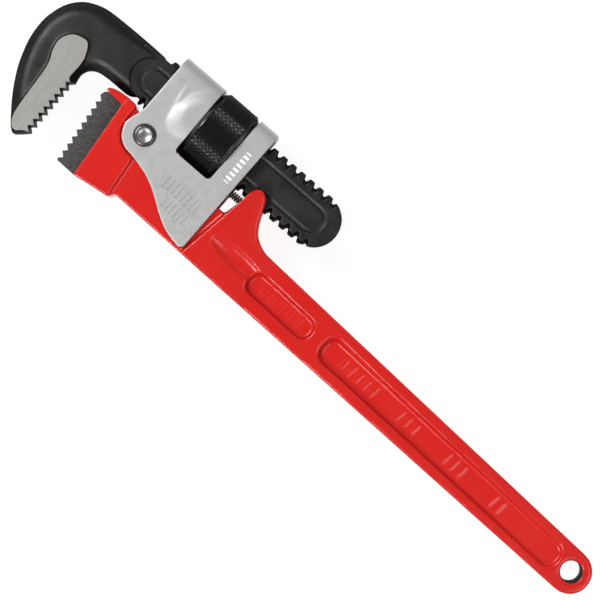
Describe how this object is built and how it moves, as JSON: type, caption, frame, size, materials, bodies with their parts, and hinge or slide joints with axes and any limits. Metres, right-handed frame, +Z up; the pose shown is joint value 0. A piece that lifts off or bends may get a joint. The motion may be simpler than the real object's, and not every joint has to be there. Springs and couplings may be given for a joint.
{
  "type": "pipe wrench",
  "caption": "Adjustable straight pipe wrench with a toothed hook jaw on a screw shank, a knurled adjusting nut in a pressed swinging frame, and a forged handle.",
  "frame": {"origin": "under the middle of the whole tool, at the height of its lowest point, with the tool lying flat", "axes": "+X along the screw shank from the jaws towards the grip's end, +Y from the grip side towards the frame's closed back, +Z up through the tool's thickness"},
  "size_m": [0.3108, 0.0686, 0.0324],
  "materials": {
    "red_enamel": "gloss",
    "jaw_steel": "matte",
    "black_oxide": "satin",
    "plated_sheet": "satin",
    "bright_steel": "satin",
    "spring_steel": "satin"
  },
  "bodies": {
    "handle_body": {"handle": "red_enamel", "heel_jaw": "jaw_steel", "pivot_rivet": "bright_steel", "coil_spring": "spring_steel"},
    "frame_body": {"frame": "plated_sheet", "leaf_spring": "spring_steel", "leaf_spring_rivet": "spring_steel"},
    "nut_body": {"adjusting_nut": "black_oxide"},
    "hook_body": {"hook_jaw": "black_oxide"}
  },
  "joints": [
    {"name": "frame_pivot", "type": "hinge", "parent": "handle_body", "child": "frame_body", "pos_m": [-0.0939, -0.00078, 0.0162], "axis": [0, 0, -1], "range_deg": [0, 5], "stiffness_Nm_per_rad": 2, "springref_deg": -8.59, "deforming": ["coil_spring"]},
    {"name": "nut_spin", "type": "hinge", "parent": "frame_body", "child": "nut_body", "pos_m": [-0.07215, 0.01812, 0.0162], "axis": [1, 0, 0], "range_deg": [-792, 2880]},
    {"name": "jaw_travel", "type": "slide", "parent": "frame_body", "child": "hook_body", "axis": [-1, 0, 0], "range_m": [-0.01045, 0.038]}
  ],
  "couplings": [
    {"joint": "nut_spin", "follows": "jaw_travel", "rad_per_m": 1322.8}
  ]
}
